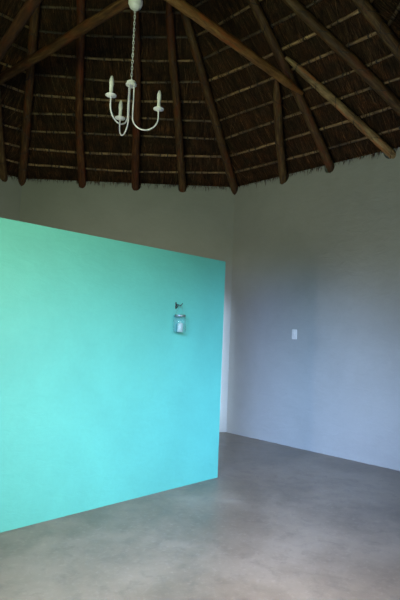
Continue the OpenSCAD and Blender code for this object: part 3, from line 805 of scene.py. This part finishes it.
def tie_points(on_lath, on_pole, up, slant, sizes):
    """A tight slanting round about a lath and the pole under it; sizes are (half width, half height)."""
    points = []
    for phi in turns(14):
        c, s = math.cos(phi), math.sin(phi)
        spots = []
        for centre, (wide, tall) in zip((on_lath, on_pole), sizes):
            reach = math.hypot(wide * c, tall * s)
            spots.append(((centre - on_pole) @ up * s + reach,
                          centre + slant * wide * wide * c / reach + up * tall * tall * s / reach))
        points.append(max(spots, key=lambda spot: spot[0])[1])
    return np.array(points)


def make_ties(rafters, laths, rng):
    """Twine tied round each crossing of a lath and a rafter."""
    soup = Soup()
    for lath, r, _ in laths:
        axis = unit(lath[-1] - lath[0])
        for rafter, r_low, r_high in rafters:
            met = crossing(lath, r, rafter, r_low)
            if met is None:
                continue
            run = unit(rafter[-1] - rafter[0])
            (on_lath, _), (on_pole, _) = along(lath, met[0]), along(rafter, met[1])
            r_pole = r_low + (r_high - r_low) * met[1] + TIE_OFF
            slant = unit(axis + run * rng.choice([-1, 1]) * rng.uniform(0.7, 1.3))
            up = unit(on_lath - on_pole)
            slant = unit(slant - up * (slant @ up))
            sizes = [(size / max(abs(np.linalg.norm(np.cross(slant, way))), 0.3), size)
                     for size, way in ((r + TIE_OFF, axis), (r_pole, run))]
            points = tie_points(on_lath, on_pole, up, slant, sizes)
            loop(soup, points, TIE_R, np.cross(slant, up), rng.uniform())
    stand_for(soup.build("rafter_ties", [TWINE]), "lath")


# ------------------------------------------------------------------ thatch

THATCH_NODES = ["thatch_right", "thatch_back_right", "thatch_back", "thatch_back_left", "thatch_left",
                "thatch_front_left", "thatch_front", "thatch_front_right"]
LATH_START = slope_at(EAVE_APOTHEM - 0.06, LATH_LEVEL)
BED_OUT = (0.1, 0.075, 0.045), (0.23, 0.18, 0.115), (0.4, 0.33, 0.23)
BED_IN = (0.029, 0.0145, 0.0056), (0.07, 0.036, 0.015), (0.145, 0.08, 0.035)
# Material places of a piece of thatch
TOP, UNDER, STALK_OUT, STALK_IN = range(4)


def thatch_body(soup, rng, k):
    """The body of one side of the thatch: pressed up between the laths below, in courses above."""
    rows, cols = 56, 44
    t = np.linspace(0, 1, rows)[:, None]
    w = np.linspace(-1, 1, cols)[None, :]
    wobble = rng.normal(0, 1, (rows, cols))
    wobble[:, [0, -1]] = 0
    inset = 1 - 0.02 * np.exp(-((1 - np.abs(w)) / 0.05) ** 2)

    def layer(level, relief):
        s0 = slope_at(EAVE_APOTHEM, level)
        s1 = slope_at(0.03, level)
        s = s0 + (s1 - s0) * t + 0 * w
        y = w * half_side(apothem_at(s, level)) * inset
        return slope_to_world(k, s, y, level + relief(s))

    def under(s):
        between = np.abs(np.sin(math.pi * (LATH_START - s) / LATH_STEP))
        return 0.004 - 0.012 * between + 0.003 * wobble

    def over(s):
        down = ((s - slope_at(EAVE_APOTHEM, THATCH_HIGH)) / COURSE) % 1.0
        return -0.003 - BUTT * (1 - down) + 0.004 * wobble

    def rim(sheet):
        return np.concatenate([sheet[0], sheet[1:, -1], sheet[-1, -2::-1], sheet[-2:0:-1, 0]])

    bottom, top = layer(THATCH_LOW, under), layer(THATCH_HIGH, over)
    faces = grid_faces(rows, cols)
    soup.add(bottom, faces, shade=np.clip(0.25 + 0.1 * wobble, 0, 1), mat=UNDER)
    soup.add(top, faces[:, ::-1], shade=0.4, mat=TOP)
    band = np.concatenate([rim(bottom), rim(top)])
    count = len(band) // 2
    a, b = next_round(count)
    soup.add(band, np.stack([b, a, a + count, b + count], -1), shade=0.3, mat=TOP)


def stalks(soup, rng, k, n, level, spread, length, thick, tone, mat, tilt=0.12):
    """n stalks laid up the slope of facet k at a level, spread above and below it."""
    r = np.sqrt(rng.uniform(0.25 ** 2, (EAVE_APOTHEM - 0.1) ** 2, n))
    s = slope_at(r, level)
    y = half_side(r) * rng.uniform(-0.985, 0.985, n)
    size = rng.uniform(*length, n)
    lean = rng.normal(0, tilt, n)
    height = level + rng.uniform(*spread, n)
    s_low, s_high = np.minimum(s + size / 2, slope_at(EAVE_APOTHEM - 0.012, height)), s - size / 2
    rng.uniform(0, 1, n)  # keeps the draws after it in their order
    ends = []
    for s_end, y_end in ((s_low, y + lean * size / 2), (s_high, y - lean * size / 2)):
        cap = half_side(np.maximum(apothem_at(s_end, height), 0.02)) * 0.995
        ends.append(slope_to_world(k, s_end, np.clip(y_end, -cap, cap), height))
    keep = apothem_at(s_high, height) > 0.1
    shade = np.clip(rng.beta(*tone, n), 0, 1)[keep]
    spindles(soup, ends[0][keep], ends[1][keep], rng.uniform(*thick, n)[keep], slope_normal(k), shade, mat)


def eaves_fringe(soup, rng, k):
    """Loose grass that hangs over the wall inside, and the cut ends of the stalks along the eaves."""
    n = 440
    across = rng.uniform(-1, 1, n) * (half_side(ROOM_APOTHEM) - 0.03)
    drop = 0.015 + 0.11 * rng.beta(1.2, 3, n)
    hang = np.stack([ROOM_APOTHEM - rng.uniform(0.004, 0.02, n), across,
                     WALL_HEAD + rng.uniform(-0.002, 0.03, n)], -1)
    tip = hang + np.stack([-rng.uniform(0.0, 0.02, n), rng.normal(0, 0.02, n), -drop], -1)
    to_world = facet_turn(k).T
    spindles(soup, hang @ to_world, tip @ to_world, rng.uniform(0.0018, 0.0038, n),
             facet_turn(k) @ np.array([1.0, 0, 0]), rng.beta(2, 2, n), STALK_IN)
    n = 2100
    level = rng.uniform(THATCH_LOW + 0.004, THATCH_HIGH - 0.01, n)
    y = rng.uniform(-1, 1, n) * (half_side(EAVE_APOTHEM) - 0.015)
    size = rng.uniform(0.08, 0.22, n)
    tip = slope_at(EAVE_APOTHEM - rng.uniform(0.0, 0.02, n) - 0.004, level)
    start = slope_to_world(k, tip, y, level)
    end = slope_to_world(k, tip - size, y + rng.normal(0, 0.02, n), level)
    spindles(soup, start, end, rng.uniform(0.003, 0.006, n), slope_normal(k), rng.beta(2, 2, n), STALK_OUT)


def hip_cover(soup, rng, k):
    """Stalks laid down both hips of facet k, over the seam between two sides of the thatch."""
    n = 900
    side = rng.choice([-1, 1], n)
    r = np.sqrt(rng.uniform(0.4 ** 2, (EAVE_APOTHEM - 0.15) ** 2, n))
    size = rng.uniform(0.12, 0.4, n)
    off = np.abs(rng.normal(0, 0.03, n))
    level = THATCH_HIGH - rng.uniform(0.004, 0.016, n)
    ends = []
    for reach in (0.5, -0.5):
        at = np.clip(r + reach * size, 0.2, EAVE_APOTHEM - 0.02)
        y = side * (half_side(at) - np.maximum(off + rng.normal(0, 0.008, n), 0.001))
        ends.append(slope_to_world(k, slope_at(at, level), y, level))
    spindles(soup, *ends, rng.uniform(0.004, 0.008, n), slope_normal(k), rng.beta(2, 2, n), STALK_OUT)


def make_thatch(k):
    """One side of the thatch. Inside: laid stalks, loose ones, and stray ones by the laths."""
    rng = np.random.default_rng(50 + k)
    soup = Soup()
    thatch_body(soup, rng, k)
    stalks(soup, rng, k, 4600, THATCH_LOW, (-0.014, 0.0), (0.25, 0.8), (0.0022, 0.0045), (1.6, 3.2), STALK_IN)
    stalks(soup, rng, k, 450, THATCH_LOW, (-0.03, -0.01), (0.1, 0.4), (0.0015, 0.003), (3.0, 1.6), STALK_IN,
           tilt=0.4)
    stalks(soup, rng, k, 900, THATCH_LOW, (-0.048, -0.036), (0.1, 0.3), (0.003, 0.006), (1.4, 3.2), STALK_IN,
           tilt=0.2)
    stalks(soup, rng, k, 2500, THATCH_HIGH, (-0.03, -0.006), (0.25, 0.7), (0.003, 0.006), (2.0, 2.0),
           STALK_OUT)
    eaves_fringe(soup, rng, k)
    hip_cover(soup, rng, k)
    materials = [thatch_bed(f"thatch_out_{k}", k, *BED_OUT), thatch_bed(f"thatch_in_{k}", k, *BED_IN),
                 GRASS_OUT, GRASS_IN]
    stand_for(soup.build(THATCH_NODES[k] + "_grass", materials, smooth=False), "thatch", THATCH_NODES[k])


# ---------------------------------------------------------------- fittings

def lathe(soup, centre, profile, steps, wave=None):
    """A form turned about an upright axis: profile points are (radius, height) from outside round.

    wave(turn) is added to each radius, for knurls and unevenness."""
    turn = turns(steps)
    profile = np.array(profile)
    radius = profile[:, :1] * np.ones(steps)
    if wave is not None:
        radius = radius + wave(turn)[None] * (profile[:, :1] > 0)
    x, y = centre[0] + radius * np.cos(turn), centre[1] + radius * np.sin(turn)
    z = centre[2] + profile[:, 1:] * np.ones(steps)
    soup.add(np.stack([x, y, z], -1), grid_faces(len(profile), steps, True))


def tube(soup, points, radius, sides=10, mat=0):
    """A closed round rod along points; radius is one size or one for each point."""
    points = np.array(points, float)
    run = unit_rows(np.gradient(points, axis=0))
    side = np.cross(run, UP if abs(run[0] @ UP) < 0.9 else np.array([1.0, 0, 0]))
    for i in range(1, len(side)):
        side[i] = side[i - 1] - run[i] * (side[i - 1] @ run[i])
    side = unit_rows(side)
    verts = rings_about(points, radius, side, np.cross(run, side), sides)
    soup.add(verts, grid_faces(len(points), sides, True), mat=mat)
    a, b = next_round(sides)
    for i, faces in ((0, fan(b, a, sides)), (-1, fan(a, b, sides))):
        soup.add(np.concatenate([verts[i], points[i][None]]), faces, mat=mat)


def smooth_path(points, n):
    """n points on a smooth curve through the given ones."""
    points = np.array(points, float)
    out = []
    for u in np.linspace(0, len(points) - 1, n):
        i = min(int(u), len(points) - 2)
        f = u - i
        a, b = points[max(i - 1, 0)], points[i]
        c, d = points[i + 1], points[min(i + 2, len(points) - 1)]
        out.append(0.5 * (2 * b + (c - a) * f + (2 * a - 5 * b + 4 * c - d) * f * f
                          + (3 * b - a - 3 * c + d) * f ** 3))
    return np.array(out)


def partition_axes():
    """Unit directions along the partition, towards +X, and out of its face, towards the doorway."""
    corners = np.unique(np.round(islands("headboard_partition")[0][:, :2], 4), axis=0)
    pairs = [(a, b) for a in corners for b in corners if b[0] > a[0]]
    lengths = np.array([np.linalg.norm(b - a) for a, b in pairs])
    a, b = pairs[int(np.argmin(abs(lengths - np.sort(lengths)[-3])))]
    x, y = unit(b - a)
    return np.array([x, y, 0]), np.array([y, -x, 0])


JAR_WALL, JAR_BASE = 0.003, 0.006
WIRE_R = 0.0011


def make_jar(foot, r, tall):
    """The blown jar, open inside, with a rolled foot, a shoulder and a neck for its lid."""
    neck, wall, base = r - 0.008, JAR_WALL, JAR_BASE
    jar = Soup()
    lathe(jar, foot, [(0, 0.003), (0.6 * r, 0.001), (r - 0.006, 0), (r - 0.0015, 0.003), (r, 0.008),
                      (r, tall - 0.034), (r - 0.001, tall - 0.028), (neck + 0.002, tall - 0.021),
                      (neck, tall - 0.018), (neck, tall), (neck - wall, tall), (neck - wall, tall - 0.019),
                      (r - wall - 0.001, tall - 0.03), (r - wall, tall - 0.036), (r - wall, base + 0.006),
                      (r - wall - 0.004, base + 0.001), (0, base)], 56)
    stand_for(jar.build("lantern_jar_glass", [JAR_GLASS]), "jar_glass", "lantern_jar")


def make_candle(stood):
    """The burnt-down candle in the jar, with its wick."""
    candle, r, tall = Soup(), 0.024, 0.074
    lathe(candle, stood, [(0, 0), (r - 0.001, 0), (r, 0.001), (r, tall - 0.003), (r - 0.002, tall),
                          (r - 0.006, tall - 0.001), (0.004, tall - 0.004), (0, tall - 0.004)], 32,
          wave=lambda a: 0.0006 * np.sin(3 * a + 1))
    wick = stood + UP * (tall - 0.0045)
    bent = smooth_path([wick, wick + (0.0005, 0, 0.006), wick + (0.003, 0.001, 0.011)], 8)
    tube(candle, bent, 0.0012, 6, 1)
    stand_for(candle.build("lantern_candle", [WAX, TWINE]), "candle_sleeve")


def make_lid(foot, across):
    """The knurled lid with its wire bail, which ends in a ring over the hook."""
    low, high = (np.array(c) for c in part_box("lantern_lid"))
    r = (high[0] - low[0]) / 2
    at = np.array([foot[0], foot[1], low[2]])
    lid = Soup()
    lathe(lid, at, [(0, 0.001), (r - 0.004, 0.001), (r - 0.002, 0), (r, 0.001), (r, 0.004),
                    (r - 0.001, 0.005), (r - 0.001, 0.012), (r, 0.013), (r - 0.001, 0.0155),
                    (r - 0.004, 0.016), (r - 0.007, 0.0145), (0, 0.0142)], 72,
          wave=lambda a: 0.0004 * np.sin(24 * a))
    top = high[2]
    ring_r, hang = 0.009, high[2] - 0.009
    middle = np.array([at[0], at[1], 0.0])
    for sign in (-1, 1):
        ear = at + sign * (r - 0.001) * across + UP * 0.007
        bail = smooth_path([ear, ear + sign * 0.004 * across + UP * 0.004,
                            ear - sign * 0.004 * across + UP * 0.03,
                            middle + sign * 0.02 * across + UP * (hang - 0.024),
                            middle + sign * ring_r * across + UP * (hang - 0.003)], 20)
        tube(lid, bail, WIRE_R, 6)
        tube(lid, [ear - sign * 0.002 * across, ear + sign * 0.0035 * across], 0.003, 8)
    arc = np.linspace(-0.35, math.pi + 0.35, 20)
    tube(lid, [middle + ring_r * math.cos(a) * across + UP * (hang + (top - hang) * math.sin(a) - WIRE_R)
               for a in arc], WIRE_R, 6)
    stand_for(lid.build("lantern_lid_and_bail", [ZINC]), "lid_metal", "lantern_lid")


def make_hook(foot, across, out):
    """The forged hook: waisted plate with two screws, arm with a curled end, and brace."""
    points = np.concatenate(islands("lantern_hook"))
    root = foot + ((points @ out).min() - foot @ out) * out
    root[2] = points[:, 2].min() + 0.03
    reach = (foot - root) @ out

    def spot(u, v, w):
        """u along the partition, v out of it, w up, from the middle of the hook's plate."""
        return root + u * across + v * out + w * UP

    hook = Soup()
    arm = smooth_path([spot(*c) for c in (
        (0, 0.003, -0.006), (0, 0.012, 0.006), (0, 0.4 * reach, 0.007), (0, reach - 0.012, 0.001),
        (0, reach, 0), (0.003, reach + 0.007, 0.004), (0.012, reach + 0.007, 0.013),
        (0.022, reach + 0.001, 0.019))], 44)
    tube(hook, arm, np.linspace(1, 0.72, 44) * 0.0042)
    brace = smooth_path([spot(*c) for c in (
        (0, 0.003, -0.024), (0, 0.014, -0.02), (0, 0.026, -0.006), (0, 0.03, 0.006))], 14)
    tube(hook, brace, 0.003, 8)
    outline = [(0, -0.031), (0.005, -0.024), (0.008, -0.012), (0.0055, 0.0), (0.0075, 0.012), (0.0085, 0.022),
               (0.005, 0.029), (0, 0.031)]
    shape = outline + [(-u, w) for u, w in outline[-2:0:-1]]
    count = len(shape)
    plate = np.array([spot(u, 0, w) for u, w in shape] + [spot(0.8 * u, 0.0035, 0.97 * w) for u, w in shape]
                     + [spot(0, 0, 0), spot(0, 0.0045, 0)])
    a, b = next_round(count)
    hook.add(plate, np.stack([b, a, a + count, b + count], -1))
    hook.add(plate, np.concatenate([fan(a, b, 2 * count), fan(b + count, a + count, 2 * count + 1)]))
    for w in (-0.022, 0.021):
        tube(hook, [spot(0, 0.0025, w), spot(0, 0.0055, w), spot(0, 0.0061, w)], [0.0032, 0.003, 0.0018])
    stand_for(hook.build("lantern_hook_forged", [IRON]), "black_iron", "lantern_hook")


def make_lantern():
    """The jar lantern on the partition."""
    across, out = partition_axes()
    low, high = (np.array(c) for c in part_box("lantern_jar"))
    foot = np.array([(low[0] + high[0]) / 2, (low[1] + high[1]) / 2, low[2]])
    make_jar(foot, (high[0] - low[0]) / 2, high[2] - low[2])
    make_candle(foot + UP * (JAR_BASE + 0.0002) + 0.007 * across)
    make_lid(foot, across)
    make_hook(foot, across, out)


def slab(soup, at, right, out, size, edge):
    """A moulded plate of this width, height and thickness with round corners and a rolled front edge."""
    turn = turns(40)
    wide, tall = (np.sign(f) * np.abs(f) ** 0.22 for f in (np.cos(turn), np.sin(turn)))
    rings = [at + np.outer(wide * (size[0] / 2 - inset), right) + np.outer(tall * (size[1] / 2 - inset), UP)
             + height * out
             for inset, height in ((0, 0), (0, size[2] - edge), (0.3 * edge, size[2] - 0.3 * edge),
                                   (edge, size[2]))]
    verts = np.concatenate([*rings, [at, at + size[2] * out]])
    count = len(turn)
    a, b = next_round(count)
    soup.add(verts, grid_faces(4, count, True)[:, ::-1])
    soup.add(verts, np.concatenate([fan(b, a, 4 * count), fan(a + 3 * count, b + 3 * count, 4 * count + 1)]))


def make_switch():
    """The moulded light switch: plate, rocker in its recess and two screws."""
    points = np.concatenate(islands("switch_plate"))
    out = -facet_turn(1)[:, 0]
    right = np.cross(UP, out)
    middle = (points.max(0) + points.min(0)) / 2
    middle += ((points @ out).min() - middle @ out) * out
    switch = Soup()
    slab(switch, middle, right, out, (0.072, 0.12, 0.0085), 0.003)
    slab(switch, middle, right, out, (0.026, 0.042, 0.0095), 0.0005)
    slab(switch, middle, right, out, (0.018, 0.032, 0.0135), 0.0025)
    for height in (-0.042, 0.042):
        slab(switch, middle + height * UP, right, out, (0.007, 0.007, 0.0094), 0.0004)
    stand_for(switch.build("switch_moulded", [PLASTIC], smooth=False), "white_plastic", "switch_plate")


# ------------------------------------------------------- camera and lights

FRAME_W, FRAME_H = 400, 600
FOCAL_PX = 495.3
CENTRE_X_PX = 212.8
EYE = (1.186, -3.212, 1.397)
EYE_PITCH, EYE_ROLL, EYE_YAW = 4.10, -2.22, 0.45


def stand_at(obj, place, right, up, back):
    """Puts an object at a place with these directions for its own axes."""
    m = Matrix.Identity(4)
    for i in range(3):
        m[i][0], m[i][1], m[i][2], m[i][3] = right[i], up[i], back[i], place[i]
    obj.matrix_world = m


def make_camera():
    """The photograph's viewpoint: inside, beside the doorway, looking up a little at the far walls."""
    pitch, roll, yaw = (math.radians(a) for a in (EYE_PITCH, EYE_ROLL, EYE_YAW))
    look = np.array([math.sin(yaw) * math.cos(pitch), math.cos(yaw) * math.cos(pitch), math.sin(pitch)])
    level = np.array([math.cos(yaw), -math.sin(yaw), 0])
    up = np.cross(level, look)
    data = bpy.data.cameras.new("camera")
    data.sensor_width = 36
    data.lens = FOCAL_PX / FRAME_H * data.sensor_width
    data.shift_x = (FRAME_W / 2 - CENTRE_X_PX) / FRAME_H
    data.clip_start = 0.02
    cam = add_object("camera", data)
    stand_at(cam, EYE, math.cos(roll) * level - math.sin(roll) * up,
             math.sin(roll) * level + math.cos(roll) * up, -look)
    bpy.context.scene.camera = cam


def area(name, place, target, size, watts, color, spread=180):
    """A soft rectangular light that the camera doesn't see, turned to a target."""
    data = bpy.data.lights.new(name, "AREA")
    data.shape = "RECTANGLE"
    data.size, data.size_y = size
    data.energy = watts
    data.color = color
    data.spread = math.radians(spread)
    obj = add_object(name, data)
    obj.visible_camera = False
    back = unit(np.array(place, float) - np.array(target, float))
    right = unit(np.cross(UP, back))
    stand_at(obj, place, right, np.cross(back, right), back)


def light_inside():
    """Blue daylight from the doorway, softer light from the windows, a dim green fill for the roof, and
    small lights for the gap behind the partition and for the floor."""
    area("door_sky", (0.8, -3.2, 2.05), (1.4, -0.5, 0.85), (1.8, 0.5), 98, (0.3, 0.45, 1.0), 54)
    area("door_view", (0.5, -3.3, 1.25), (1.1, 1.0, 0.9), (2.2, 1.3), 33, (0.12, 0.3, 1.0))
    area("window_right", (2.4, -2.4, 1.75), (0.0, 0.0, 0.5), (0.8, 0.8), 50, (1.0, 0.98, 0.98), 90)
    area("window_right_low", (2.2, -2.5, 1.9), (1.95, 2.6, 0.5), (0.5, 0.6), 18, (0.32, 0.53, 1.0), 40)
    area("window_left", (-2.4, -2.4, 1.75), (1.0, 1.0, 0.4), (0.8, 0.8), 43, (0.97, 0.85, 1.0), 90)
    area("high_fill", (-0.5, -2.4, 2.3), (0.8, 2.6, 3.8), (2.0, 1.0), 37, (0.81, 1.0, 0.5), 115)
    area("behind_partition", (1.1, 2.7, 1.1), (1.1, 3.6, 1.0), (0.4, 1.7), 19, (0.5, 0.66, 1.0), 50)
    area("floor_pool", (1.6, -2.9, 2.2), (1.75, -1.7, 0.0), (1.0, 0.5), 37, (1.0, 0.93, 0.84), 80)


def light_outside():
    """Three wide soft lights and a pale, even sky."""
    area("open_left", (-9, -10, 12), (0, 0, 3), (9, 9), 1500, (1.0, 0.98, 0.95))
    area("open_right", (11, -8, 9), (0, 0, 3), (9, 9), 850, (0.92, 0.96, 1.0))
    area("open_back", (2, 13, 11), (0, 0, 3), (10, 10), 850, (0.95, 0.97, 1.0))
    bpy.context.scene.view_settings.view_transform = "Standard"
    world = bpy.data.worlds.new("studio")
    world.use_nodes = True
    sky = world.node_tree.nodes["Background"]
    sky.inputs["Color"].default_value = (0.86, 0.9, 0.95, 1)
    sky.inputs["Strength"].default_value = 0.4
    bpy.context.scene.world = world


def make_stage():
    """A plain pale floor just under the hut."""
    mesh = bpy.data.meshes.new("studio_floor")
    reach, drop = 60, -0.002
    mesh.from_pydata([(-reach, -reach, drop), (reach, -reach, drop), (reach, reach, drop),
                      (-reach, reach, drop)], [], [(0, 1, 2, 3)])
    p = Paint("studio_floor", roughness=0.9)
    p.color(p.ramp(p.noise(p.place(), 0.4, 3, 0.5), (0.3, (0.62, 0.62, 0.6)), (0.7, (0.66, 0.66, 0.64))))
    mesh.materials.append(p.mat)
    add_object("studio_floor", mesh)


finish_solids()
make_camera()
rafters = make_poles()
make_king_block()
laths = make_laths()
twine_rng = np.random.default_rng(31)
make_stitches(laths, twine_rng)
make_ties(rafters, laths, twine_rng)
for k in range(SIDES):
    make_thatch(k)
make_lantern()
make_switch()
light_inside()
light_outside()
make_stage()
